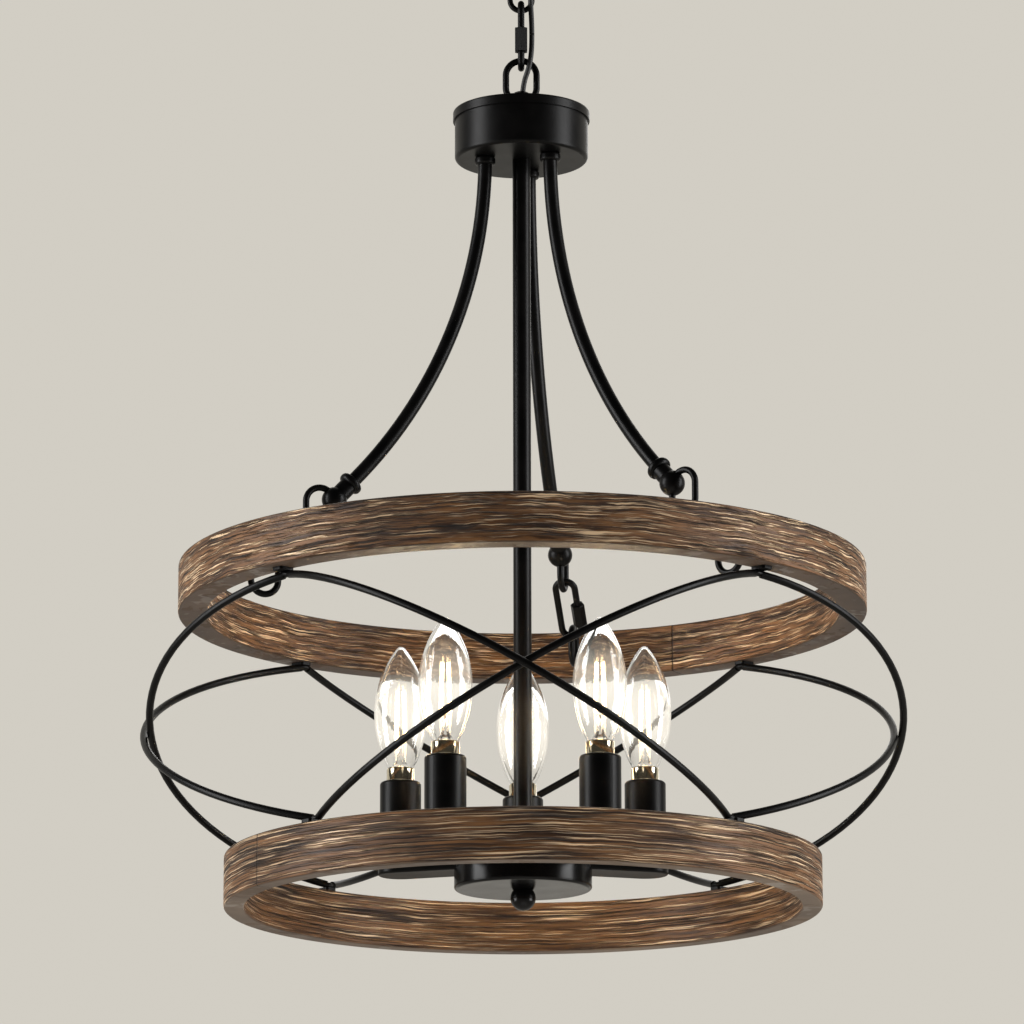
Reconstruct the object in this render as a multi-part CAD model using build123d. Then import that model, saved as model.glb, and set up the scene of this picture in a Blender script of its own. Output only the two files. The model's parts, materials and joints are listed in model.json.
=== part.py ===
"""Five-light chandelier: two wood-grain rings in a wire cage, hung from three curved arms.

Millimetres, +Z up. The origin is the middle of the mounting crossbar's top face, in the
ceiling plane, and everything hangs below it. Front is -Y. Angles are turned about +Z from +X.
"""
import os
from math import asin, cos, degrees, pi, radians, sin, tan

from build123d import *

os.makedirs("parts", exist_ok=True)

# ---- clearances and stock ----
running = 0.05  # radial gap of a nut or sleeve on the rod that it slides on
loose = 0.35  # gap between two hanging links of different bodies
sheet = 1.5  # pressed steel covers
tube_radius = 4.75  # 3/8 in arm tube
tube_bore = 3.4
nipple_radius = 4.75
nipple_bore = 3.4
nut_thickness = 4.0
nipple_nut_flats = 15.0
arm_nut_flats = 14.0
rod_nut_flats = 17.0
thread_end = 4.0  # a threaded end stands this far out of its nut
pin_radius = 3.0

# ---- ceiling canopy ----
canopy_radius = 60.0
canopy_depth = 25.0
canopy_edge = 4.0
crossbar_length = 112.0
crossbar_width = 20.0
crossbar_thickness = 2.5
box_screw_spacing = 89.0  # 3 1/2 in octagonal junction box
box_slot_radius = 2.3
box_slot_length = 12.0
stud_spacing = 60.0
stud_radius = 2.0
stud_play = 0.2  # radial, in the canopy's holes
stud_end = 5.0  # below the canopy, inside its ball nut
stud_recess = 0.2  # below the crossbar's top face
ball_nut_radius = 4.6
ball_nut_drop = 4.0  # its centre below the canopy
ground_head_radius = 4.0
ground_head_thickness = 2.5
ground_screw_length = 9.0
connector_radius = 5.0
connector_top_radius = 3.4
connector_skirt = 4.0
connector_height = 15.0
connector_places = ((-18, 24), (0, 32), (18, 24))

# ---- loop fittings, on the canopy and on the hub ----
loop_wire = 4.5
loop_width = 25.4
loop_rise = 38.9  # from the face that it stands on to the top of its ring
loop_foot = 7.0  # height of the ring's lower bar centre
loop_base_radius = 8.5
loop_base_height = 8.0
loop_dome_rise = 15.0
loop_thread_depth = 7.0  # the nipple's thread in the base

# ---- chain ----
link_wire = 3.8
link_length = 36.0
link_width = 18.7
quick_wire = 4.6
quick_length = 50.0
quick_width = 18.0
sleeve_flats = 8.4
sleeve_length = 17.0
sleeve_edge = 0.6
sleeve_offset = 5.0  # the sleeve sits this far below the middle of its link
gate_gap = 7.0
cord_radius = 1.8

# ---- hub ----
lid_radius = 46.6
lid_lip = 6.6
lid_edge = 1.4
hub_wall = 1.2
hub_edge = 2.6
lead_end_drop = 10.0  # the cord and the rod's lead meet this far below the lid
hub_height = 34.3  # lid top to hub underside

# ---- arms ----
arm_angles = {"left": -161.5, "right": -41.5, "rear": 78.5}
arm_pitch_radius = 26.0
arm_end_radius = 118.5
arm_drop = 232.6
collar_radius = 7.0
collar_thickness = 5.5
collar_edge = 1.7
end_bead_radius = 8.25
end_bead_thickness = 5.5
end_bead_edge = 2.4
end_neck_radius = 6.2
end_ball_radius = 8.5
end_ball_distance = 19.0  # ball centre beyond the end of the bend
tube_seat = 4.0  # straight end of the arm inside its ball fitting

# ---- suspension of the cage ----
arm_loop_wire = 4.4
arm_loop_length = 34.0
arm_loop_width = 24.0
arm_loop_twist = 9.0  # the ball's hole lets the loop turn this many degrees each way
arm_loop_play = 0.45  # radial gap round the loop's wire in that hole
arm_loop_drop = 2.3  # the middle of its straights below the ball's centre
cage_link_slope = 45.5  # below horizontal
eye_wire = 4.4
eye_height = 30.0
eye_width = 23.0
eye_shank = 20.0
eye_shank_radius = 2.5
eye_flange_radius = 6.0
eye_flange_thickness = 1.5
eye_screw_depth = 12.0
eye_gap = 0.9

# ---- rings ----
upper_wall = 19.2
upper_height = 33.0
lower_outer_radius = 198.0
lower_wall = 13.7
lower_height = 34.5
ring_spacing = 196.3  # top of the upper ring to top of the lower ring
ring_edge = 1.6

# ---- wire cage ----
cage_wire = 5.0
cage_phase = 45.0
cage_bulge_radius = 252.3  # centre of the outer wires where they stand out furthest
crossing_gap = 0.1
tab_length = 12.0
tab_width = 9.0
tab_thickness = 2.0
tab_corner = 2.0
tab_inset = 0.7  # from the ring's inner edge
weld_bite = 0.4
tab_screw_radius = 1.5
tab_screw_head = 2.5
tab_screw_length = 14.0
tab_screw_shift = 3.4  # the screw stands this far outside the middle of its tab
wire_end_shift = 3.4  # and the wires end this far inside it

# ---- candle hub ----
candle_hub_radius = 45.7
candle_hub_depth = 217.8  # underside below the upper ring's top
candle_hub_height = 28.0
lead_hole_radius = 3.5
lead_hole_reach = 4.0  # each side of the hub's wall
cover_gap = 0.4  # between the cover's rim and the candle arms
cover_edge = 2.2
candle_count = 5
candle_pitch_radius = 86.0
candle_arm_width = 30.0
candle_arm_height = 14.0
candle_arm_wall = 1.5
candle_arm_lower_edge = 1.5
candle_arm_upper_edge = 0.8
rod_radius = 6.1
rod_bore = 4.6
finial_radius = 8.4
finial_drop = 5.4  # ball centre below the cover
finial_pin_length = 12.0
cup_radius = 13.8
cup_wall = 1.2
cup_height = 49.5
cup_mouth_play = 0.6  # round the bulb's flange
cup_edge = 2.2
holder_edge = 0.8
holder_thread_depth = 8.0
nipple_tail = 5.0  # the holder's nipple hangs this far below the arm's top
holder_play = 1.6  # between the lamp holder and its cup
bulb_play = 0.35  # between the bulb's screw shell and its holder

# ---- bulbs ----
bulb_gap = 0.3
bulb_seat_depth = 1.2  # the collar's flange sits this far inside the cup's mouth
glass_radius = 17.8
glass_height = 83.0
glass_widest_height = 38.0
glass_tip_radius = 3.6
glass_neck_radius = 8.7
glass_wall = 1.0
collar_flange_radius = 10.2
collar_flange_thickness = 1.5
collar_flange_bevel = 0.3
bulb_collar_radius = 9.4
bulb_collar_height = 10.5
screw_shell_radius = 5.95
screw_shell_length = 17.0
screw_shell_taper = 2.0
contact_radius = 2.5
contact_length = 2.5
stem_radius = 2.6
stem_height = 20.0
filament_radius = 0.8
filament_length = 34.0
filament_pitch = 4.4
filament_count = 4

# ---- levels, worked out from the ceiling down ----
canopy_underside = -canopy_depth
canopy_loop_tip = canopy_underside - loop_rise
chain_link_top = canopy_loop_tip + loop_wire + loose + link_wire
chain_link_bottom = chain_link_top - link_length
quick_link_top = chain_link_bottom + link_wire + loose + quick_wire
quick_link_bottom = quick_link_top - quick_length
lid_top = quick_link_bottom + quick_wire + loose + loop_wire - loop_rise
hub_underside = lid_top - hub_height
hub_radius = lid_radius - hub_wall - running

arm_spread = arm_end_radius - arm_pitch_radius
arm_bend_radius = (arm_spread**2 + arm_drop**2) / (2 * arm_spread)
arm_bend_angle = degrees(asin(arm_drop / arm_bend_radius))
arm_end_level = hub_underside - arm_drop
outward, downward = sin(radians(arm_bend_angle)), cos(radians(arm_bend_angle))
ball_centre_radius = arm_end_radius + end_ball_distance * outward
ball_centre_level = arm_end_level - end_ball_distance * downward

arm_loop_arc = (arm_loop_width - arm_loop_wire) / 2
arm_loop_half = (arm_loop_length - arm_loop_width) / 2
arm_loop_radius = ball_centre_radius + arm_loop_arc
arm_loop_level = ball_centre_level - arm_loop_half - arm_loop_drop
eye_arc = (eye_width - eye_wire) / 2
eye_half = (eye_height - eye_width) / 2
link_reach = (
    (arm_loop_arc - (arm_loop_wire + quick_wire) / 2 - loose)
    + (quick_length - quick_wire)
    + (eye_arc - (eye_wire + quick_wire) / 2 - eye_gap)
)
slope_out, slope_down = cos(radians(cage_link_slope)), sin(radians(cage_link_slope))
lower_arc_level = arm_loop_level - arm_loop_half
eye_radius = arm_loop_radius + link_reach * slope_out
eye_level = lower_arc_level - link_reach * slope_down - eye_half

upper_inner_radius = eye_radius + eye_width / 2 + eye_shank
upper_outer_radius = upper_inner_radius + upper_wall
upper_top = eye_level + upper_height / 2
upper_bottom = upper_top - upper_height
lower_inner_radius = lower_outer_radius - lower_wall
lower_top = upper_top - ring_spacing
lower_bottom = lower_top - lower_height

candle_hub_bottom = upper_top - candle_hub_depth
candle_hub_top = candle_hub_bottom + candle_hub_height
candle_arm_top = candle_hub_top
candle_arm_bottom = candle_arm_top - candle_arm_height
cup_top = candle_arm_top + cup_height
cup_mouth_radius = collar_flange_radius + cup_mouth_play
holder_radius = cup_radius - cup_wall - holder_play
holder_bore = screw_shell_radius + bulb_play
nut_reach = sheet + nut_thickness + thread_end  # thread end from the face that its nut clamps
candle_angles = [90 + 360 / candle_count * number for number in range(candle_count)]


def spin(shape, angle):
    """The shape turned about the chandelier's axis."""
    return Rot(0, 0, angle) * shape


def cylinder(radius, bottom, top, x=0.0, y=0.0):
    return Pos(x, y, bottom) * extrude(Circle(radius), top - bottom)


def tube(radius, bore, bottom, top, x=0.0, y=0.0):
    return Pos(x, y, bottom) * extrude(Circle(radius) - Circle(bore), top - bottom)


def turned(outline):
    """A solid turned about Z from a closed outline of (radius, height) corners."""
    return revolve(Plane.XZ * make_face(Polyline(*outline, close=True)), Axis.Z)


def hex_nut(flats, bore, bottom, thickness, x=0.0, y=0.0):
    outline = RegularPolygon(flats / 2, 6, major_radius=False) - Circle(bore)
    return Pos(x, y, bottom) * extrude(outline, thickness)


def oval(length, width, wire):
    """A closed oval of round wire in the XZ plane, its long way along Z."""
    arc = (width - wire) / 2
    half = (length - width) / 2
    with BuildLine(Plane.XZ) as path:
        Line((arc, -half), (arc, half))
        ThreePointArc((arc, half), (0, half + arc), (-arc, half))
        Line((-arc, half), (-arc, -half))
        ThreePointArc((-arc, -half), (0, -half - arc), (arc, -half))
    return sweep(Pos(arc, 0, -half) * Circle(wire / 2), path=path.wire())


def loop_fitting():
    """Ring on a round base with a wire-way through it. It stands on z = 0, ring in the XZ plane."""
    ring_length = loop_rise - loop_foot + loop_wire / 2
    ring = Pos(0, 0, loop_rise - ring_length / 2) * oval(ring_length, loop_width, loop_wire)
    dome_height = loop_dome_rise - loop_base_height
    dome = Pos(0, 0, loop_base_height) * scale(
        Sphere(loop_base_radius), (1, 1, dome_height / loop_base_radius)
    )
    base = cylinder(loop_base_radius, 0, loop_base_height)
    wire_way = cylinder(nipple_bore, 0, loop_dome_rise + loop_wire)
    thread = cylinder(nipple_radius, 0, loop_thread_depth)
    return base + (dome - cylinder(loop_width, -loop_width, loop_base_height)) + ring - wire_way - thread


def quick_link():
    """Oval link with a gate gap in its -X side, its long way along Z."""
    gap = Box(2 * quick_wire, 2 * quick_wire, gate_gap)
    gate = Pos(-(quick_width - quick_wire) / 2, 0, -sleeve_offset - gate_gap / 2) * gap
    return oval(quick_length, quick_width, quick_wire) - gate


def link_sleeve():
    """Hexagonal sleeve nut round the gate gap of a quick link."""
    outline = RegularPolygon(sleeve_flats / 2, 6, major_radius=False)
    body = extrude(outline - Circle(quick_wire / 2 + running), sleeve_length)
    ends = body.edges().filter_by(GeomType.LINE) - body.edges().filter_by(Axis.Z)
    body = fillet(ends, sleeve_edge)
    side = -(quick_width - quick_wire) / 2
    return Pos(side, 0, -sleeve_offset - sleeve_length / 2) * body


# ---- canopy ----
def ceiling_canopy():
    outside = cylinder(canopy_radius, canopy_underside, 0)
    outside = fillet(outside.edges().sort_by(Axis.Z)[0], canopy_edge)
    inside = cylinder(canopy_radius - sheet, canopy_underside + sheet, 0)
    inside = fillet(inside.edges().sort_by(Axis.Z)[0], canopy_edge - sheet)
    holes = cylinder(nipple_radius + running, canopy_underside, 0)
    for side in (-1, 1):
        holes += cylinder(stud_radius + stud_play, canopy_underside, 0, side * stud_spacing / 2)
    return outside - inside - holes


def mounting_crossbar():
    bar = Pos(0, 0, -crossbar_thickness / 2) * Box(crossbar_length, crossbar_width, crossbar_thickness)
    for side in (-1, 1):
        slot = SlotOverall(box_slot_length, 2 * box_slot_radius)
        bar -= Pos(side * box_screw_spacing / 2, 0, -crossbar_thickness) * extrude(slot, crossbar_thickness)
        bar -= cylinder(stud_radius, -crossbar_thickness, 0, side * stud_spacing / 2)
    return bar - cylinder(stud_radius, -crossbar_thickness, 0, stud_spacing / 4)


def crossbar_studs():
    low, high = canopy_underside - stud_end, -stud_recess
    return [cylinder(stud_radius, low, high, side * stud_spacing / 2) for side in (-1, 1)]


def canopy_ball_nuts():
    nuts = []
    for side in (-1, 1):
        ball = Pos(0, 0, -ball_nut_drop) * Sphere(ball_nut_radius)
        ball -= cylinder(2 * ball_nut_radius, 0, ball_nut_radius)
        ball -= cylinder(stud_radius, -stud_end, 0)
        nuts.append(Pos(side * stud_spacing / 2, 0, canopy_underside) * ball)
    return nuts


def ground_screw():
    shank = cylinder(stud_radius, -ground_screw_length, -stud_recess, stud_spacing / 4)
    head_bottom = -crossbar_thickness - ground_head_thickness
    return shank + cylinder(ground_head_radius, head_bottom, -crossbar_thickness, stud_spacing / 4)


def canopy_loop():
    fitting = Rot(0, 0, 90) * Rot(180, 0, 0) * loop_fitting()
    return Pos(0, 0, canopy_underside) * fitting


def canopy_nipple():
    bottom, top = canopy_underside - loop_thread_depth, canopy_underside + nut_reach
    return tube(nipple_radius, nipple_bore, bottom, top)


def canopy_lock_nut():
    return hex_nut(nipple_nut_flats, nipple_radius, canopy_underside + sheet, nut_thickness)


def canopy_wire_connectors():
    floor = canopy_underside + sheet
    cone = turned(
        [
            (0, 0),
            (connector_radius, 0),
            (connector_radius, connector_skirt),
            (connector_top_radius, connector_height),
            (0, connector_height),
        ]
    )
    return [Pos(x, y, floor) * cone for x, y in connector_places]


# ---- chain and cord ----
cord_points = [
    (0.0, 0.0, lid_top - lead_end_drop),
    (0.0, 0.0, lid_top + loop_dome_rise + 2.0),
    (6.6, -5.6, lid_top + loop_rise - 5.5),
    (7.6, -3.2, lid_top + loop_rise + 17.0),
    (6.2, -5.0, chain_link_bottom + 12.0),
    (6.6, -5.2, chain_link_top - 2.5),
    (0.0, 0.0, canopy_underside - loop_dome_rise + 0.5),
    (0.0, 0.0, canopy_underside + 12.0),
]


def bend_radii(points):
    """Each corner's arc is 0.45 of its shorter run, over the tangent of half its turn."""
    radii = []
    for before, here, after in zip(points, points[1:], points[2:]):
        into, out = Vector(*here) - Vector(*before), Vector(*after) - Vector(*here)
        turn = radians(into.get_angle(out))
        radii.append(0.45 * min(into.length, out.length) / tan(turn / 2))
    return radii


def supply_cord():
    radii = bend_radii(cord_points)
    path = FilletPolyline(*cord_points, radius=radii)
    cord = sweep(Pos(*cord_points[0]) * Circle(cord_radius), path=path.wire())
    section = pi * cord_radius**2
    print("cord radii", [round(radius, 1) for radius in radii])
    print("cord length", round(path.length, 1), "volume / section", round(cord.volume / section, 1))
    return cord


def chain_link():
    level = (chain_link_top + chain_link_bottom) / 2
    return Pos(0, 0, level) * oval(link_length, link_width, link_wire)


top_link_place = Pos(0, 0, (quick_link_top + quick_link_bottom) / 2) * Rot(0, 0, 90)


# ---- hub ----
def hub_loop():
    return Pos(0, 0, lid_top) * loop_fitting()


def hub_nipple():
    return tube(nipple_radius, nipple_bore, lid_top - nut_reach, lid_top + loop_thread_depth)


def hub_lock_nut():
    return hex_nut(nipple_nut_flats, nipple_radius, lid_top - sheet - nut_thickness, nut_thickness)


def hub_lid():
    lid = cylinder(lid_radius, lid_top - lid_lip, lid_top)
    lid = fillet(lid.edges().sort_by(Axis.Z)[-1], lid_edge)
    lid -= cylinder(lid_radius - hub_wall, lid_top - lid_lip, lid_top - sheet)
    return lid - cylinder(nipple_radius, lid_top - sheet, lid_top)


def hub_body():
    top = lid_top - sheet
    body = cylinder(hub_radius, hub_underside, top)
    body = fillet(body.edges().sort_by(Axis.Z)[0], hub_edge)
    room = cylinder(hub_radius - hub_wall, hub_underside + sheet, top)
    body -= fillet(room.edges().sort_by(Axis.Z)[0], hub_edge - hub_wall)
    body -= cylinder(rod_radius, hub_underside, hub_underside + sheet)
    for angle in arm_angles.values():
        body -= spin(cylinder(tube_radius, hub_underside, hub_underside + sheet, arm_pitch_radius), angle)
    return body


# ---- arms, each drawn in the XZ plane and turned to its angle ----
def arm_tube(radius):
    """The arm's path swept as a solid bar: up through the hub, round the bend, into the ball."""
    end = (arm_end_radius, arm_end_level)
    middle_turn = radians(arm_bend_angle / 2)
    middle = (
        arm_pitch_radius + arm_bend_radius * (1 - cos(middle_turn)),
        hub_underside - arm_bend_radius * sin(middle_turn),
    )
    tip = (end[0] + tube_seat * outward, end[1] - tube_seat * downward)
    with BuildLine(Plane.XZ) as path:
        Line((arm_pitch_radius, hub_underside + nut_reach), (arm_pitch_radius, hub_underside))
        ThreePointArc((arm_pitch_radius, hub_underside), middle, end)
        Line(end, tip)
    start = Pos(arm_pitch_radius, 0, hub_underside + nut_reach)
    return sweep(start * Circle(radius), path=path.wire())


def arm(angle):
    return spin(arm_tube(tube_radius) - arm_tube(tube_bore), angle)


def arm_collars():
    bead = cylinder(collar_radius, hub_underside - collar_thickness, hub_underside, arm_pitch_radius)
    bead = fillet(bead.edges(), collar_edge) - arm_tube(tube_radius)
    return [spin(bead, angle) for angle in arm_angles.values()]


def arm_lock_nuts():
    nut = hex_nut(arm_nut_flats, tube_radius, hub_underside + sheet, nut_thickness, arm_pitch_radius)
    return [spin(nut, angle) for angle in arm_angles.values()]


def arm_loop():
    loop = oval(arm_loop_length, arm_loop_width, arm_loop_wire)
    return Pos(arm_loop_radius, 0, arm_loop_level) * loop


def arm_end_balls():
    """Bead, neck and drilled ball in one piece. The hole follows the loop and lets it turn."""
    bead = cylinder(end_bead_radius, 0, end_bead_thickness)
    bead = fillet(bead.edges(), end_bead_edge)
    neck = cylinder(end_neck_radius, 0, end_ball_distance)
    fitting = bead + neck + Pos(0, 0, end_ball_distance) * Sphere(end_ball_radius)
    fitting -= cylinder(tube_radius, 0, tube_seat)
    place = Pos(arm_end_radius, 0, arm_end_level) * Rot(0, 180 - arm_bend_angle, 0)
    fitting = place * fitting
    wider = 2 * arm_loop_play
    hole = oval(arm_loop_length + wider, arm_loop_width + wider, arm_loop_wire + wider)
    for turn in (-arm_loop_twist, 0, arm_loop_twist):
        swung = Rot(0, 0, turn) * Pos(arm_loop_arc, 0, arm_loop_level - ball_centre_level) * hole
        fitting -= Pos(ball_centre_radius, 0, ball_centre_level) * swung
    return [spin(fitting, angle) for angle in arm_angles.values()]


# ---- suspension links, between the arm loops and the ring eyes ----
link_centre_distance = (
    arm_loop_arc - (arm_loop_wire + quick_wire) / 2 - loose + (quick_length - quick_wire) / 2
)
cage_link_place = (
    Pos(
        arm_loop_radius + link_centre_distance * slope_out,
        0,
        lower_arc_level - link_centre_distance * slope_down,
    )
    * Rot(0, cage_link_slope - 90, 0)
    * Rot(0, 0, 90)
)


def ring_eyes():
    """Screw eyes in the upper ring's inner wall, one below each arm."""
    eye = Pos(eye_radius, 0, eye_level) * oval(eye_height, eye_width, eye_wire)
    start = eye_radius + eye_width / 2 - eye_wire / 2
    end = upper_inner_radius + eye_screw_depth
    along = Pos(start, 0, eye_level) * Rot(0, 90, 0)
    shank = along * extrude(Circle(eye_shank_radius), end - start)
    seat = Pos(upper_inner_radius - eye_flange_thickness, 0, eye_level) * Rot(0, 90, 0)
    flange = seat * extrude(Circle(eye_flange_radius), eye_flange_thickness)
    wall = cylinder(upper_inner_radius, upper_bottom, upper_top)
    return [spin(eye + shank + (flange & wall), angle) for angle in arm_angles.values()]


# ---- rings ----
def ring(outer, wall, bottom, height):
    band = tube(outer, outer - wall, bottom, bottom + height)
    return fillet(band.edges(), ring_edge)


def tab_places():
    """Where each tab's ring face, middle radius, and the way out of the wood lie."""
    upper_middle = upper_inner_radius + tab_inset + tab_length / 2
    lower_middle = lower_inner_radius + tab_inset + tab_length / 2
    return [(upper_bottom, upper_middle, -1), (lower_top, lower_middle, 1)]


tab_angles = [cage_phase + 90 * number for number in range(4)]
wire_end_split = cage_wire / 2 + crossing_gap


def tab_screw(face, middle, way):
    head = face + way * tab_thickness
    tip = face - way * tab_screw_length
    x = middle + tab_screw_shift
    shank = cylinder(tab_screw_radius, min(head, tip), max(head, tip), x)
    sink = Cone(tab_screw_radius, tab_screw_head, tab_thickness)
    if way < 0:
        sink = Rot(180, 0, 0) * sink
    return shank + Pos(x, 0, face + way * tab_thickness / 2) * sink


def tab_screws():
    return [spin(tab_screw(*place), angle) for place in tab_places() for angle in tab_angles]


def wire_tabs():
    tabs = []
    for face, middle, way in tab_places():
        plate = Pos(middle, 0, face + way * tab_thickness / 2) * Box(tab_length, tab_width, tab_thickness)
        plate = fillet(plate.edges().filter_by(Axis.Z), tab_corner)
        plate -= tab_screw(face, middle, way)
        tabs += [spin(plate, angle) for angle in tab_angles]
    return tabs


def upper_ring():
    band = ring(upper_outer_radius, upper_wall, upper_bottom, upper_height)
    for angle in arm_angles.values():
        screw = Pos(upper_inner_radius - 1, 0, eye_level) * Rot(0, 90, 0)
        screw *= extrude(Circle(eye_shank_radius), eye_screw_depth + 1)
        band -= spin(screw, angle)
    for angle in tab_angles:
        band -= spin(tab_screw(*tab_places()[0]), angle)
    return band


def lower_ring():
    band = ring(lower_outer_radius, lower_wall, lower_bottom, lower_height)
    for angle in tab_angles:
        band -= spin(tab_screw(*tab_places()[1]), angle)
    return band


def on_axis_circle(radius, angle, level):
    return Vector(radius * cos(radians(angle)), radius * sin(radians(angle)), level)


def cage_wires(bulge, way):
    """Four wires, each a quarter turn round the cage from the upper ring down to the lower."""
    (upper_face, upper_middle, _), (lower_face, lower_middle, _) = tab_places()
    reach = tab_thickness + cage_wire / 2 - weld_bite
    start_radius = upper_middle - wire_end_shift
    end_radius = lower_middle - wire_end_shift
    start_level, end_level = upper_face - reach, lower_face + reach
    wires = []
    for angle in tab_angles:
        first = angle + way * degrees(wire_end_split / start_radius)
        last = angle + way * (90 - degrees(wire_end_split / end_radius))
        start = on_axis_circle(start_radius, first, start_level)
        end = on_axis_circle(end_radius, last, end_level)
        middle = on_axis_circle(bulge, angle + way * 45, (start_level + end_level) / 2)
        path = ThreePointArc(start, middle, end)
        wires.append(sweep(Plane(path @ 0, z_dir=path % 0) * Circle(cage_wire / 2), path=path))
    return wires


# ---- centre rod and candle hub ----
rod_top = hub_underside + nut_reach
rod_bottom = candle_hub_top - nut_reach


def centre_rod():
    return tube(rod_radius, rod_bore, rod_bottom, rod_top)


def rod_lock_nuts():
    levels = (hub_underside + sheet, candle_hub_top - sheet - nut_thickness)
    return [hex_nut(rod_nut_flats, rod_radius, level, nut_thickness) for level in levels]


def rod_lead():
    return cylinder(cord_radius, rod_bottom, lid_top - lead_end_drop)


def candle_hub():
    """Upper shell of the candle hub, with a lead hole behind each arm."""
    radius = candle_hub_radius - hub_wall
    shell = cylinder(radius, candle_hub_bottom + sheet, candle_hub_top)
    shell = fillet(shell.edges().sort_by(Axis.Z)[-1], lid_edge)
    shell -= cylinder(radius - hub_wall, candle_hub_bottom + sheet, candle_hub_top - sheet)
    shell -= cylinder(rod_radius, candle_hub_top - sheet, candle_hub_top)
    level = (candle_arm_top + candle_arm_bottom) / 2
    drill = extrude(Circle(lead_hole_radius), 2 * lead_hole_reach)
    lead_hole = Pos(radius - lead_hole_reach, 0, level) * Rot(0, 90, 0) * drill
    for angle in candle_angles:
        shell -= spin(lead_hole, angle)
    return shell


def candle_hub_cover():
    """Shallow dish that closes the candle hub from below, with the finial's hole."""
    top = candle_arm_bottom - cover_gap
    dish = cylinder(candle_hub_radius, candle_hub_bottom, top)
    dish = fillet(dish.edges().sort_by(Axis.Z)[0], cover_edge)
    dish -= cylinder(candle_hub_radius - hub_wall, candle_hub_bottom + sheet, top)
    return dish - cylinder(pin_radius, candle_hub_bottom, candle_hub_bottom + sheet)


def ball_finial():
    """Ball nut on a threaded pin, which holds the cover on."""
    ball = Pos(0, 0, candle_hub_bottom - finial_drop) * Sphere(finial_radius)
    ball -= cylinder(2 * finial_radius, candle_hub_bottom, candle_hub_bottom + finial_radius)
    pin_bottom = candle_hub_bottom - finial_drop
    return ball + cylinder(pin_radius, pin_bottom, candle_hub_bottom + finial_pin_length)


def candle_arms():
    """Flat box arms with round ends, closed but for the lead way in and the holder's hole."""
    radius = candle_hub_radius - hub_wall
    reach = candle_pitch_radius
    outline = Pos(reach / 2, 0) * Rectangle(reach, candle_arm_width)
    outline += Pos(reach, 0) * Circle(candle_arm_width / 2)
    bar = Pos(0, 0, candle_arm_bottom) * extrude(outline, candle_arm_height)
    bar = fillet(bar.edges().group_by(Axis.Z)[0], candle_arm_lower_edge)
    bar = fillet(bar.edges().group_by(Axis.Z)[-1], candle_arm_upper_edge)
    hollow = offset(outline, -candle_arm_wall)
    room = candle_arm_height - 2 * candle_arm_wall
    bar -= Pos(0, 0, candle_arm_bottom + candle_arm_wall) * extrude(hollow, room)
    bar -= cylinder(radius, candle_arm_bottom, candle_arm_top)
    bar -= cylinder(nipple_radius, candle_arm_top - candle_arm_wall, candle_arm_top, reach)
    return [spin(bar, angle) for angle in candle_angles]


def at_candle(shape, angle):
    return spin(Pos(candle_pitch_radius, 0, 0) * shape, angle)


def socket_cups():
    cup = cylinder(cup_radius, candle_arm_top, cup_top)
    cup = fillet(cup.edges().sort_by(Axis.Z)[-1], cup_edge)
    inside = cylinder(cup_radius - cup_wall, candle_arm_top + cup_wall, cup_top - cup_wall)
    inside = fillet(inside.edges().sort_by(Axis.Z)[-1], cup_edge - cup_wall)
    cup -= inside + cylinder(cup_mouth_radius, cup_top - 2 * cup_edge, cup_top)
    cup -= cylinder(nipple_radius, candle_arm_top, candle_arm_top + cup_wall)
    return [at_candle(cup, angle) for angle in candle_angles]


bulb_seat = cup_top - bulb_seat_depth  # underside of the bulb's collar flange
holder_top = bulb_seat - bulb_gap
holder_floor = holder_top - screw_shell_length - contact_length - 2 * bulb_gap
holder_bottom = candle_arm_top + cup_wall + nut_thickness


def lamp_holders():
    body = cylinder(holder_radius, holder_bottom, holder_top)
    body = fillet(body.edges().sort_by(Axis.Z)[-1], holder_edge)
    body -= cylinder(holder_bore, holder_floor, holder_top)
    body -= cylinder(nipple_radius, holder_bottom, holder_bottom + holder_thread_depth)
    return [at_candle(body, angle) for angle in candle_angles]


def holder_nipples():
    """Threaded nipple with its nut in the cup, which clamps cup and holder to the arm."""
    bottom, top = candle_arm_top - nipple_tail, holder_bottom + holder_thread_depth
    pipe = tube(nipple_radius, nipple_bore, bottom, top)
    nut = hex_nut(arm_nut_flats, nipple_radius, candle_arm_top + cup_wall, nut_thickness)
    return [at_candle(piece, angle) for angle in candle_angles for piece in (pipe, nut)]


# ---- bulbs ----
glass_bottom = bulb_seat + bulb_collar_height


def glass_outline(shrink):
    """Half the bulb's outline: neck to widest, widest to shoulder, and a small round tip."""
    widest, tip = glass_radius - shrink, glass_tip_radius - shrink
    rise = glass_height - glass_tip_radius - glass_widest_height
    upper = (widest**2 + rise**2 - tip**2) / (2 * (widest - tip))
    reach = upper / (upper - tip)
    shoulder = (widest - upper + (upper - widest) * reach, glass_widest_height + rise * reach)
    side = (widest, glass_widest_height)
    neck = TangentArc(side, (glass_neck_radius - shrink, 0), tangent=(0, -1))
    flank = TangentArc(side, shoulder, tangent=(0, 1))
    top = TangentArc(shoulder, (0, glass_height - shrink), tangent=flank % 1)
    return neck, flank, top


def bulb_glass(angle):
    with BuildSketch(Plane.XZ) as half:
        with BuildLine():
            outer, inner = glass_outline(0), glass_outline(glass_wall)
            Line(outer[2] @ 1, inner[2] @ 1)
            Line(inner[0] @ 1, outer[0] @ 1)
        make_face()
    glass = Pos(0, 0, glass_bottom) * revolve(half.sketch, Axis.Z)
    return at_candle(glass, angle)


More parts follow.
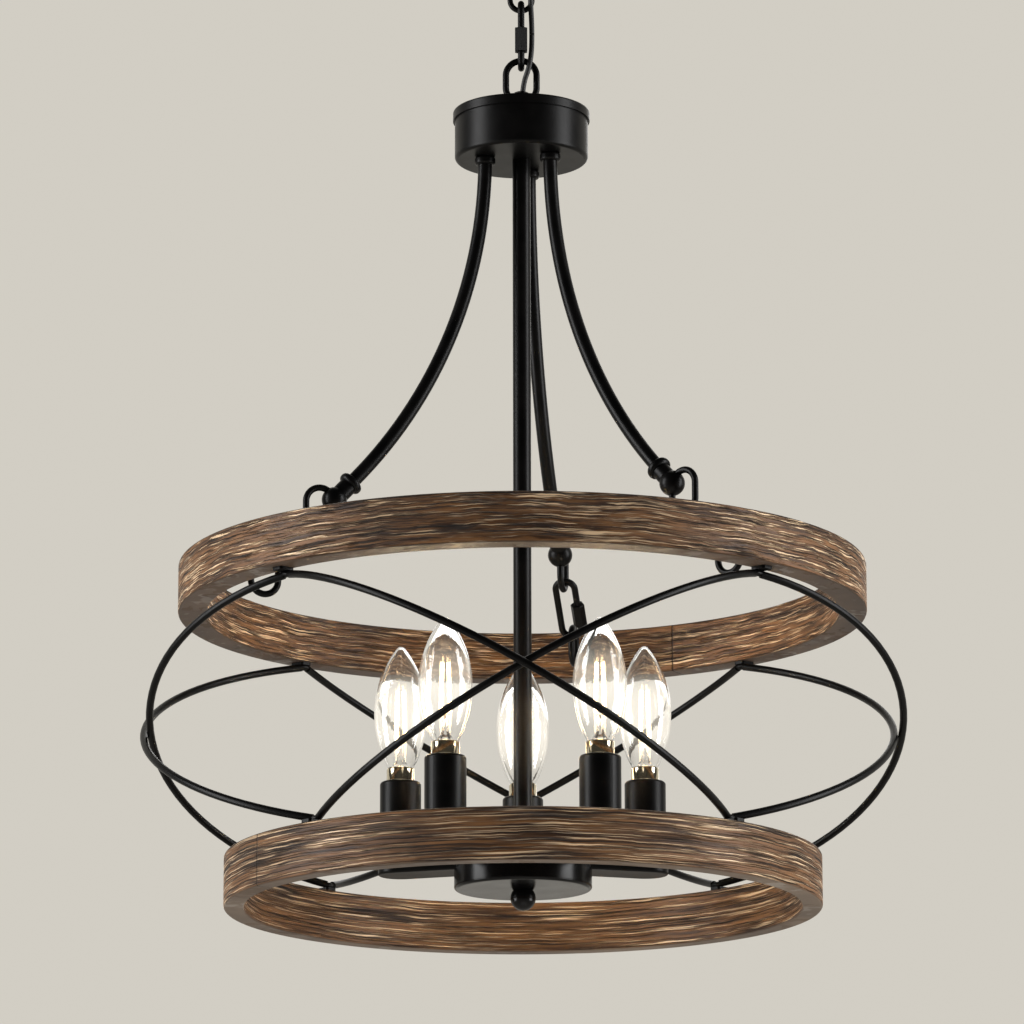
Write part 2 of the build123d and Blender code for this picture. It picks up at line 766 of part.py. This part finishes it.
def bulb_base(angle):
    """Metal collar and screw shell, and the stem and filaments inside the glass."""
    tip = bulb_seat - screw_shell_length
    flange_top = bulb_seat + collar_flange_thickness
    filament_top = glass_bottom + stem_height + filament_length
    metal = turned(
        [
            (0, tip - contact_length),
            (contact_radius, tip - contact_length),
            (contact_radius, tip),
            (screw_shell_radius, tip + screw_shell_taper),
            (screw_shell_radius, bulb_seat),
            (collar_flange_radius, bulb_seat),
            (collar_flange_radius, flange_top),
            (bulb_collar_radius, flange_top + collar_flange_bevel),
            (bulb_collar_radius, glass_bottom),
            (0, glass_bottom),
        ]
    )
    pieces = [metal, cylinder(stem_radius, glass_bottom, glass_bottom + stem_height)]
    for number in range(filament_count):
        rod = cylinder(filament_radius, glass_bottom, filament_top, filament_pitch)
        pieces.append(spin(rod, 360 / filament_count * (number + 0.5)))
    return [at_candle(piece, angle) for piece in pieces]


def write(name, shape):
    """One STEP file for each node. A list holds separate pieces of one kind."""
    solids = [s for piece in (shape if isinstance(shape, list) else [shape]) for s in piece.solids()]
    whole = solids[0] if len(solids) == 1 else Compound(children=solids)
    export_step(whole, f"parts/{name}.step")


for make in (
    ceiling_canopy,
    mounting_crossbar,
    crossbar_studs,
    canopy_ball_nuts,
    ground_screw,
    canopy_loop,
    canopy_nipple,
    canopy_lock_nut,
    canopy_wire_connectors,
    supply_cord,
    chain_link,
    hub_loop,
    hub_nipple,
    hub_lock_nut,
    hub_lid,
    hub_body,
    arm_collars,
    arm_lock_nuts,
    arm_end_balls,
    centre_rod,
    rod_lock_nuts,
    rod_lead,
    candle_hub,
    candle_hub_cover,
    ball_finial,
    candle_arms,
    socket_cups,
    lamp_holders,
    holder_nipples,
    ring_eyes,
    upper_ring,
    lower_ring,
    wire_tabs,
    tab_screws,
):
    write(make.__name__, make())

write("top_quick_link", top_link_place * quick_link())
write("top_link_sleeve", top_link_place * link_sleeve())
for side, side_angle in arm_angles.items():
    write(f"arm_{side}", arm(side_angle))
    write(f"arm_loop_{side}", spin(arm_loop(), side_angle))
    write(f"cage_link_{side}", spin(cage_link_place * quick_link(), side_angle))
    write(f"cage_sleeve_{side}", spin(cage_link_place * link_sleeve(), side_angle))
write("cage_wires_outer", cage_wires(cage_bulge_radius, 1))
write("cage_wires_inner", cage_wires(cage_bulge_radius - cage_wire - crossing_gap, -1))
for number, candle_angle in enumerate(candle_angles, start=1):
    write(f"bulb_glass_{number}", bulb_glass(candle_angle))
    write(f"bulb_base_{number}", bulb_base(candle_angle))
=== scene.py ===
"""Five-light chandelier with two wood-grain rings in a wire cage, in metres."""
import json
from math import cos, pi, sin

import bmesh
import bpy
from mathutils import Matrix, Vector, noise

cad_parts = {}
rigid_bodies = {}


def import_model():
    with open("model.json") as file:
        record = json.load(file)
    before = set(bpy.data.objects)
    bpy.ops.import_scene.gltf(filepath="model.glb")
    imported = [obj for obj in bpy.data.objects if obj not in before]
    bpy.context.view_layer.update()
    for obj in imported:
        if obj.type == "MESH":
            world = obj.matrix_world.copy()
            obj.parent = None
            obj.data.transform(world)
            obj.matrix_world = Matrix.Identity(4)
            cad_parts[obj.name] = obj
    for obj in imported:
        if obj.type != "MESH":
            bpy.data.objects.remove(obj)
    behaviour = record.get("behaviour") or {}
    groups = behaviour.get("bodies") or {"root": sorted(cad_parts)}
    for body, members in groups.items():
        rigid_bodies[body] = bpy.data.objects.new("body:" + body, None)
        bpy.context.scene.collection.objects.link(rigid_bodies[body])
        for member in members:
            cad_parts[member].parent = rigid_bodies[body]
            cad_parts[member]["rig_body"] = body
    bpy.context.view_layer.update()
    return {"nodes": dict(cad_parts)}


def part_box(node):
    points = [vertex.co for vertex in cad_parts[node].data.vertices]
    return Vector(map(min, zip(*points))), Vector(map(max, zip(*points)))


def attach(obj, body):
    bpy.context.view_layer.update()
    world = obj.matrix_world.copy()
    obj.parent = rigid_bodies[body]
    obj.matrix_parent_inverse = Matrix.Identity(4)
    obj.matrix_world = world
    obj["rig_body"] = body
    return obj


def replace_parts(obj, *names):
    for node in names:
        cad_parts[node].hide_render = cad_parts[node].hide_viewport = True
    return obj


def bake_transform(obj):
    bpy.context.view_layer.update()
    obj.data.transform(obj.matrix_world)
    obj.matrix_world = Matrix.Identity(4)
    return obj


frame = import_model()
scene = bpy.context.scene
nodes = frame["nodes"]

# ---- camera and room ----
# A long lens a little below the lower ring, looking up. The room is a pale floor, a pale wall
# far behind, a dim even sky and two tall soft boxes, one on each side, with a low bounce. The
# wall stands well past the circle on which a camera goes round the light.
camera_place = (0, -3.8116, -1.3217)
camera_yaw, camera_pitch, camera_roll = 0.0018, 0.2269, 0.0019
camera_lens, sensor_width, sight_limit = 204.8, 36, 40
camera = bpy.data.objects.new("camera", bpy.data.cameras.new("camera"))
scene.collection.objects.link(camera)
scene.camera = camera
camera.data.lens = camera_lens
camera.data.sensor_width = sensor_width
camera.data.clip_end = sight_limit
aim = Matrix.Rotation(camera_yaw, 4, "Z") @ Matrix.Rotation(camera_pitch, 4, "X")
aim = aim @ Matrix.Rotation(camera_roll, 4, "Y") @ Matrix.Rotation(pi / 2, 4, "X")
camera.matrix_world = Matrix.Translation(camera_place) @ aim

scene.view_settings.view_transform = "Standard"
room_colour = (0.66, 0.63, 0.565)
sky_light, sky_seen = 0.08, 1.0
world = bpy.data.worlds.new("room")
world.use_nodes = True
sky = world.node_tree
seen = sky.nodes.new("ShaderNodeLightPath")
either = sky.nodes.new("ShaderNodeMath")
either.operation = "MAXIMUM"
sky.links.new(seen.outputs["Is Camera Ray"], either.inputs[0])
sky.links.new(seen.outputs["Is Transmission Ray"], either.inputs[1])
strength = sky.nodes.new("ShaderNodeMapRange")
strength.inputs["To Min"].default_value = sky_light
strength.inputs["To Max"].default_value = sky_seen
sky.links.new(either.outputs[0], strength.inputs["Value"])
sky.links.new(strength.outputs[0], sky.nodes["Background"].inputs["Strength"])
sky.nodes["Background"].inputs["Color"].default_value = (*room_colour, 1)
scene.world = world

lamp_target = Vector((0, 0, -0.5))


def soft_box(name, place, width, height, watts):
    lamp = bpy.data.lights.new(name, "AREA")
    lamp.shape, lamp.size, lamp.size_y, lamp.energy = "RECTANGLE", width, height, watts
    holder = bpy.data.objects.new(name, lamp)
    scene.collection.objects.link(holder)
    holder.location = place
    aim_at = lamp_target - Vector(place)
    holder.rotation_euler = aim_at.to_track_quat("-Z", "Y").to_euler()


soft_box("soft_box_left", (-2.14, -0.46, -0.35), 0.9, 2.2, 68)
soft_box("soft_box_right", (2.14, -0.46, -0.35), 0.9, 2.2, 64)
soft_box("low_bounce", (0.2, -0.9, -2.3), 1.6, 1.2, 3)
soft_box("rear_fill", (0.3, 2.6, 0.6), 1.6, 1.2, 10)


def pale_plane(name, width, place, turn, glow):
    bpy.ops.mesh.primitive_plane_add(size=width, location=place, rotation=turn)
    plane = bpy.context.object
    plane.name = name
    paint = bpy.data.materials.new(name)
    paint.use_nodes = True
    surface = paint.node_tree.nodes["Principled BSDF"]
    surface.inputs["Base Color"].default_value = (*(c * (1 - glow) for c in room_colour), 1)
    surface.inputs["Emission Color"].default_value = (*room_colour, 1)
    surface.inputs["Emission Strength"].default_value = glow
    surface.inputs["Roughness"].default_value = 0.9
    plane.data.materials.append(paint)


floor_level, floor_width = -2.6, 16
wall_distance, wall_middle, wall_width = 16.8, 4, 64
pale_plane("floor", floor_width, (0, 0, floor_level), (0, 0, 0), 0.55)
pale_plane("far_wall", wall_width, (0, wall_distance, wall_middle), (pi / 2, 0, 0), 0.97)


# ---- supply cord ----
# A round black lead that comes out of the hub loop's dome, climbs in front of the chain and
# goes into the canopy loop's wire-way. It is three runs that meet at the two links.
class Flow:
    """A value in a finish. Sums on it add Math nodes, and node() adds any other node."""

    def __init__(self, tree, socket=None):
        self.tree, self.socket = tree, socket

    def node(self, kind, inputs, out=0, **settings):
        made = self.tree.nodes.new("ShaderNode" + kind)
        for name, value in settings.items():
            setattr(made, name, value)
        for name, value in inputs.items():
            if isinstance(value, Flow):
                self.tree.links.new(value.socket, made.inputs[name])
            else:
                made.inputs[name].default_value = value
        return Flow(self.tree, made.outputs[out])

    def sum(self, operation, *values):
        return self.node("Math", dict(enumerate(values)), operation=operation)

    def __add__(self, other):
        return self.sum("ADD", self, other)

    def __sub__(self, other):
        return self.sum("SUBTRACT", self, other)

    def __rsub__(self, other):
        return self.sum("SUBTRACT", other, self)

    def __mul__(self, other):
        return self.sum("MULTIPLY", self, other)

    __radd__, __rmul__ = __add__, __mul__

    def step(self, low, high):
        """0 below low, 1 above high, and smooth between."""
        sockets = {"Value": self, "From Min": low, "From Max": high}
        return self.node("MapRange", sockets, interpolation_type="SMOOTHSTEP")

    def tint(self, first, second):
        """The first colour where the value is 0, and the second where it is 1."""
        ends = {0: self, 6: first if isinstance(first, Flow) else (*first, 1)}
        ends[7] = second if isinstance(second, Flow) else (*second, 1)
        return self.node("Mix", ends, out=2, data_type="RGBA")

    def noise(self, scale, detail=3.0, roughness=0.5):
        sockets = {"Vector": self, "Scale": scale, "Detail": detail, "Roughness": roughness}
        return self.node("TexNoise", sockets)

    def bump(self, strength, distance):
        return self.node("Bump", {"Height": self, "Strength": strength, "Distance": distance})


class Finish:
    """A material with one Principled surface. place is the point on the piece, in metres."""

    def __init__(self, name, **fixed):
        self.material = bpy.data.materials.new(name)
        self.material.use_nodes = True
        self.tree = self.material.node_tree
        self.surface = self.tree.nodes["Principled BSDF"]
        self.place = Flow(self.tree).node("TexCoord", {}, out="Object")
        self.set(**fixed)

    def set(self, **sockets):
        for name, value in sockets.items():
            socket = self.surface.inputs[name.replace("_", " ").title().replace("Ior", "IOR")]
            if isinstance(value, Flow):
                self.tree.links.new(value.socket, socket)
            else:
                socket.default_value = (*value, 1) if isinstance(value, tuple) else value

    def on(self, *names):
        for name in names:
            mesh = nodes[name].data if isinstance(name, str) else name.data
            mesh.materials.clear()
            mesh.materials.append(self.material)


def colour(red, green, blue):
    """A display colour of 0 to 255 a channel, as linear light."""
    channels = (red, green, blue)
    return tuple(((c / 255 + 0.055) / 1.055) ** 2.4 if c > 10 else c / 3294 for c in channels)


def as_piece(name, mesh, finish, body):
    """A finished mesh object that rides on a body."""
    piece = bpy.data.objects.new(name, mesh)
    scene.collection.objects.link(piece)
    for face in mesh.polygons:
        face.use_smooth = True
    finish.on(piece)
    if body:
        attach(piece, body)
    return piece


def tube_mesh(name, line, radius, around=20):
    """A tube round a line of points. Its sides are carried along the line without twisting."""
    made, rings = bmesh.new(), []
    side = None
    for index, point in enumerate(line):
        ahead = (line[min(index + 1, len(line) - 1)] - line[max(index - 1, 0)]).normalized()
        side = side or ahead.orthogonal()
        side = (side - ahead * side.dot(ahead)).normalized()
        across = ahead.cross(side)
        turns = [2 * pi * step / around for step in range(around)]
        spokes = [side * cos(turn) + across * sin(turn) for turn in turns]
        rings.append([made.verts.new(point + spoke * radius) for spoke in spokes])
    for low, high in zip(rings, rings[1:]):
        for k in range(around):
            made.faces.new((low[k], low[k - 1], high[k - 1], high[k]))
    made.faces.new(rings[0])
    made.faces.new(list(reversed(rings[-1])))
    bmesh.ops.recalc_face_normals(made, faces=made.faces)
    mesh = bpy.data.meshes.new(name)
    made.to_mesh(mesh)
    made.free()
    return mesh


cord_radius = 0.0018
cord_route = [
    (0.0, 0.0, -0.17195),
    (0.0, 0.0, -0.14495),
    (0.0066, -0.0056, -0.12855),
    (0.0076, -0.0032, -0.10605),
    (0.0062, -0.0050, -0.07925),
    (0.0066, -0.0052, -0.05775),
    (0.0, 0.0, -0.0395),
    (0.0, 0.0, -0.0130),
]
route = bpy.data.curves.new("supply_cord_route", "CURVE")
route.dimensions = "3D"
line = route.splines.new("NURBS")
line.points.add(len(cord_route) - 1)
for point, place in zip(line.points, cord_route):
    point.co = (*place, 1)
line.order_u = 3
line.use_endpoint_u = True
line.resolution_u = 16
route_object = bpy.data.objects.new("supply_cord_route", route)
route_points = [v.co.copy() for v in bpy.data.meshes.new_from_object(route_object).vertices]
bpy.data.objects.remove(route_object)

rubber = Finish("cord_rubber", base_color=colour(15, 15, 15), roughness=0.55)
rubber.set(normal=rubber.place.noise(900, 2).bump(0.15, 0.0002))
link_boxes = [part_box(name) for name in ("top_quick_link", "chain_link")]
link_middles = [(low.z + high.z) / 2 for low, high in link_boxes]
cuts = [
    min(range(len(route_points)), key=lambda k: abs(route_points[k].z - z)) for z in link_middles
]
cord_runs = [
    ("supply_cord_low", 0, cuts[0], "fixture", "top_quick_link"),
    ("supply_cord_middle", cuts[0], cuts[1], "top_quick_link", "chain_link"),
    ("supply_cord_high", cuts[1], len(route_points) - 1, "chain_link", "canopy"),
]
for name, first, last, lower_body, upper_body in cord_runs:
    run = route_points[first : last + 1]
    piece = as_piece(name, tube_mesh(name, run, cord_radius), rubber, None)
    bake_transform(piece)
    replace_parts(piece, "supply_cord")


# ---- black metalwork ----
# Pressed covers, tubes, cast fittings, links and cage wire, all in one satin black powder coat
# with a fine orange peel. The candle hub's cover and the ball nuts are smoother.
def powder_coat(name, roughness, peel, gloss):
    coat = Finish(name, specular_ior_level=gloss)
    mottle = coat.place.noise(60, 3)
    coat.set(
        base_color=mottle.step(0.3, 0.7).tint(colour(5, 5, 5), colour(11, 10, 10)),
        roughness=mottle * 0.12 + (roughness - 0.06),
        normal=coat.place.noise(1100, 2).bump(peel, 0.0003),
    )
    return coat


satin_black = powder_coat("satin_black", 0.35, 0.10, 0.11)
smooth_black = powder_coat("smooth_black", 0.22, 0.03, 0.17)
for name, node in nodes.items():
    if node.data.materials and node.get("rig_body"):
        satin_black.on(name)
smooth_black.on("candle_hub_cover", "ball_finial", "canopy_ball_nuts")

# ---- welds of the cage ----
# Each tab holds the ends of two cage wires, joined to it and to each other by a short run of
# weld. The bead is a rippled, slightly uneven mound along the ring.
ring_walls = {"upper_ring": (0.0192, -1), "lower_ring": (0.0137, 1)}
tab_inset, tab_half, tab_thickness, wire_end_shift = 0.0007, 0.0060, 0.0020, 0.0034
weld_length, weld_width, weld_rise, weld_ripples = 0.0100, 0.0052, 0.0040, 4


def weld_bead(name, centre, angle, way):
    made = bmesh.new()
    bmesh.ops.create_uvsphere(made, u_segments=48, v_segments=20, radius=1.0)
    along, outward = Vector((-sin(angle), cos(angle), 0)), Vector((cos(angle), sin(angle), 0))
    for vertex in made.verts:
        x, y, z = vertex.co
        ripple = 1 + 0.07 * cos(2 * pi * weld_ripples * x + 2.0 * y * y)
        lump = 1 + 0.10 * noise.noise(vertex.co * 1.7 + Vector((7 * angle, way, 0)))
        place = along * (x * weld_length / 2) + outward * (y * weld_width / 2 * ripple * lump)
        vertex.co = centre + place + Vector((0, 0, z * weld_rise / 2 * ripple * lump))
    mesh = bpy.data.meshes.new(name)
    made.to_mesh(mesh)
    made.free()
    return mesh


for ring_name, (wall, way) in ring_walls.items():
    low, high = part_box(ring_name)
    radius = high.x - wall + tab_inset + tab_half - wire_end_shift
    level = (high.z if way > 0 else low.z) + way * (tab_thickness + weld_rise / 2 - 0.0004)
    for quarter in range(4):
        angle = pi / 4 + quarter * pi / 2
        name = f"weld_{ring_name}_{quarter + 1}"
        centre = Vector((radius * cos(angle), radius * sin(angle), level))
        as_piece(name, weld_bead(name, centre, angle, way), satin_black, "cage")

# ---- rings ----
# Two bent wooden hoops faced with brushed veneer, inside and out. Wire brushing has left fine
# raised fibres running round the band over dark furrows. The raised fibres are bumped up, less
# rough and given a painted highlight, a near-white colour where they would catch the light. The
# flat faces and the edges are smooth and grey-brown.
def ring_grain(name, seed, seam_at, fibre_length, wander, face_dark, face_light):
    wood = Finish(name, specular_ior_level=0.30)
    start = Flow(wood.tree)
    east, north, height = (start.node("SeparateXYZ", {0: wood.place}, out=k) for k in range(3))
    sway = (wood.place.noise(20, 2) - 0.5) * wander
    ripple = (wood.place.noise(105, 2) - 0.5) * (wander / 5)
    level = sway + ripple + height

    def streaks(length, width, detail, roughness, shift):
        sockets = {0: east * (1 / length) + (seed + shift), 1: north * (1 / length)}
        sockets[2] = level * (1 / width)
        return start.node("CombineXYZ", sockets).noise(1.0, detail, roughness)

    board = streaks(fibre_length * 5, 0.0100, 2, 0.5, 0)
    fibre = streaks(fibre_length, 0.0022, 4, 0.62, 7)
    raised = streaks(fibre_length, 0.00095, 3, 0.55, 19)
    furrow = streaks(fibre_length * 1.2, 0.00085, 3, 0.55, 31)
    patch = wood.place.noise(10, 2)
    tone = (fibre * 0.60 + board * 0.25 + patch * 0.15).step(0.36, 0.64)
    body = tone.tint(colour(40, 22, 10), colour(128, 88, 52))
    # Painted highlight: the raised fibres are tinted near-white, in patches, as if catching the
    # light.
    raised_fibre_painted_highlight = raised.step(0.54, 0.62) * (patch.step(0.32, 0.60) * 0.65 + 0.35)
    dark = furrow.step(0.54, 0.62)
    # Base colour: the near-white painted highlight on the raised fibres over the wood tone, then
    # the near-black furrows.
    grain = (dark * 0.85).tint((raised_fibre_painted_highlight * 0.9).tint(body, colour(252, 217, 175)), colour(13, 7, 3))
    up = start.node("SeparateXYZ", {0: start.node("TexCoord", {}, out="Normal")}, out=2)
    flat = start.sum("ABSOLUTE", up).step(0.50, 0.85)
    face = (fibre * 0.4 + patch * 0.6).step(0.35, 0.65).tint(face_dark, face_light)
    angle = start.sum("ARCTAN2", north, east)
    seam = 1 - start.sum("ABSOLUTE", angle - seam_at).step(0.0012, 0.0040)
    skin = (seam * 0.8).tint(flat.tint(grain, face), colour(30, 20, 12))
    relief = (raised_fibre_painted_highlight * 0.8 - dark * 0.7 + fibre * 0.7) * (1 - flat * 0.92) - seam * 0.8
    wood.set(
        base_color=skin,
        roughness=0.52 - raised_fibre_painted_highlight * 0.20 + dark * 0.16,
        normal=relief.bump(0.9, 0.0016),
    )
    return wood


upper_faces = colour(58, 45, 36), colour(84, 67, 55)
lower_faces = colour(84, 68, 56), colour(120, 102, 86)
ring_grain("upper_ring_wood", 3.0, 1.05, 0.034, 0.0064, *upper_faces).on("upper_ring")
ring_grain("lower_ring_wood", 11.0, -2.62, 0.060, 0.0034, *lower_faces).on("lower_ring")

# ---- plated and plastic parts out of sight ----
# Zinc-plated crossbar, studs, nipples and nuts, a green ground screw, orange screw-on wire
# connectors and white candle holders.
zinc = Finish("zinc_plate", metallic=1.0)
spangle = zinc.place.noise(240, 2)
zinc.set(
    base_color=spangle.tint(colour(150, 152, 150), colour(196, 197, 192)),
    roughness=spangle * 0.2 + 0.24,
    normal=zinc.place.noise(1500, 2).bump(0.08, 0.0002),
)
zinc.on("mounting_crossbar", "crossbar_studs", "canopy_nipple", "canopy_lock_nut", "hub_nipple",
        "hub_lock_nut", "arm_lock_nuts", "rod_lock_nuts", "holder_nipples")


def moulded(name, dark, light, roughness):
    plastic = Finish(name)
    cloud = plastic.place.noise(120, 3)
    plastic.set(
        base_color=cloud.tint(dark, light),
        roughness=cloud * 0.12 + roughness,
        normal=plastic.place.noise(800, 2).bump(0.08, 0.0002),
    )
    return plastic


moulded("ground_green", colour(20, 92, 40), colour(30, 116, 54), 0.35).on("ground_screw")
connector_orange = moulded("connector_orange", colour(196, 92, 24), colour(214, 112, 36), 0.42)
connector_orange.on("canopy_wire_connectors")
moulded("holder_white", colour(214, 210, 200), colour(230, 226, 216), 0.45).on("lamp_holders")
rubber.on("rod_lead")

# ---- bulbs ----
# Clear candle bulbs with four lit filaments on a glass stem, a polished nickel-gold collar
# and a threaded screw shell. They are screwed into the candle cups. The glass and the stem carry
# a painted glow, a faint warm white emission in a band at the filaments' height.
glass = Finish("bulb_glass", base_color=(0.99, 0.99, 0.985), roughness=0.0)
glass.set(transmission_weight=1.0, ior=1.45, emission_strength=0.09)
bulb_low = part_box("bulb_glass_1")[0].z
# Painted glow: the glass itself gives off faint warm white light in a band at the filaments'
# height, slightly mottled.
lamp_height = Flow(glass.tree).node("SeparateXYZ", {0: glass.place}, out=2) - bulb_low
painted_glass_glow = lamp_height.step(0.006, 0.026) * (1 - lamp_height.step(0.046, 0.070))
painted_glass_glow = painted_glass_glow * (glass.place.noise(260, 2) * 0.3 + 0.85)
glass.set(emission_color=painted_glass_glow.tint((0, 0, 0), colour(255, 246, 228)))
collar_metal = Finish("bulb_collar", metallic=1.0)
polish = collar_metal.place.noise(300, 2)
collar_metal.set(
    base_color=polish.tint(colour(206, 192, 160), colour(232, 224, 204)),
    roughness=polish * 0.06 + 0.07,
    normal=collar_metal.place.noise(900, 2).bump(0.04, 0.0002),
)
filament_glow = Finish("filament_glow", base_color=colour(255, 200, 110), roughness=0.5)
filament_glow.set(emission_strength=48.0)
glow_spots = filament_glow.place.noise(500, 1)
filament_glow.set(emission_color=glow_spots.tint(colour(255, 214, 150), colour(255, 236, 200)))
support_wire = Finish("support_wire", metallic=1.0)
support_wire.set(
    base_color=support_wire.place.noise(200, 2).tint(colour(170, 160, 140), colour(205, 198, 180)),
    roughness=0.3,
)


def turned_mesh(name, outline, centre, around=48):
    """A closed turned shape from (radius, height) points that start and end on its axis."""
    made = bmesh.new()
    points = [made.verts.new((radius, 0, height)) for radius, height in outline]
    for a, b in zip(points, points[1:]):
        made.edges.new((a, b))
    bmesh.ops.spin(made, geom=made.verts[:] + made.edges[:], axis=(0, 0, 1), cent=(0, 0, 0),
                   angle=2 * pi, steps=around, use_merge=True)
    bmesh.ops.remove_doubles(made, verts=made.verts, dist=1e-7)
    bmesh.ops.recalc_face_normals(made, faces=made.faces)
    bmesh.ops.translate(made, verts=made.verts, vec=centre)
    mesh = bpy.data.meshes.new(name)
    made.to_mesh(mesh)
    made.free()
    return mesh


flange_radius, collar_radius, shell_radius = 0.0102, 0.0094, 0.0058
thread_pitch, thread_depth, thread_count = 0.0024, 0.00035, 6
collar_height = 0.0105
tip_height = -0.0195


def lamp_base_outline():
    """Contact, insulator, threads, flange and rolled collar, from the tip upwards."""
    outline = [(0, tip_height), (0.0022, tip_height), (0.0025, tip_height + 0.0006)]
    outline += [(0.0026, -0.0172)]
    outline += [(0.0045, -0.0166), (shell_radius - 0.0004, -0.0155)]
    steps = 8
    for step in range(thread_count * steps + 1):
        swell = thread_depth * 0.5 * (1 - cos(2 * pi * step / steps))
        height = -0.0150 + step / steps * thread_pitch
        outline.append((shell_radius - thread_depth + swell, height))
    outline += [(shell_radius, -0.0003), (flange_radius - 0.0004, 0.0), (flange_radius, 0.0004)]
    outline += [(flange_radius, 0.0012), (flange_radius - 0.0005, 0.0017), (collar_radius, 0.0020)]
    outline += [(collar_radius, collar_height - 0.0012)]
    outline += [(collar_radius - 0.0003, collar_height - 0.0004)]
    outline += [(collar_radius - 0.0008, collar_height), (0.0, collar_height)]
    return outline


stem_outline = [(0, 0.0001), (0.0060, 0.0001), (0.0052, 0.0020), (0.0032, 0.0050)]
stem_outline += [(0.0021, 0.0100), (0.0018, 0.0150), (0.0024, 0.0175), (0.0026, 0.0190)]
stem_outline += [(0.0018, 0.0200), (0, 0.0202)]
stem_height, filament_count, filament_pitch = 0.020, 4, 0.0044
filament_rise, filament_lean, filament_radius = 0.032, 0.0016, 0.0011
support_sink, support_drop, support_radius = 0.002, 0.0025, 0.00025
for number in range(1, 6):
    body, base = f"bulb_{number}", f"bulb_base_{number}"
    glass.on(f"bulb_glass_{number}")
    nodes[f"bulb_glass_{number}"].visible_shadow = False
    low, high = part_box(f"bulb_glass_{number}")
    neck = Vector(((low.x + high.x) / 2, (low.y + high.y) / 2, low.z))
    seat = neck - Vector((0, 0, collar_height))
    collar = turned_mesh(f"bulb_collar_{number}", lamp_base_outline(), seat)
    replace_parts(as_piece(f"bulb_collar_{number}", collar, collar_metal, body), base)
    stem = turned_mesh(f"bulb_stem_{number}", stem_outline, neck, 24)
    stem_piece = as_piece(f"bulb_stem_{number}", stem, glass, body)
    stem_piece.visible_shadow = False
    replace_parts(stem_piece, base)
    for turn in range(filament_count):
        angle = pi / 4 + turn * 2 * pi / filament_count
        out = Vector((cos(angle), sin(angle), 0))
        foot = neck + Vector((0, 0, stem_height)) + out * filament_pitch
        head = foot + Vector((0, 0, filament_rise)) - out * filament_lean
        rod = tube_mesh("filament", [foot, (foot + head) / 2, head], filament_radius, 12)
        name = f"filament_{number}_{turn + 1}"
        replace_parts(as_piece(name, rod, filament_glow, body), base)
        root = neck + Vector((0, 0, stem_height - support_sink))
        knee = foot - Vector((0, 0, support_drop))
        wire = tube_mesh("support", [root, knee, foot], support_radius, 8)
        name = f"filament_support_{number}_{turn + 1}"
        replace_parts(as_piece(name, wire, support_wire, body), base)
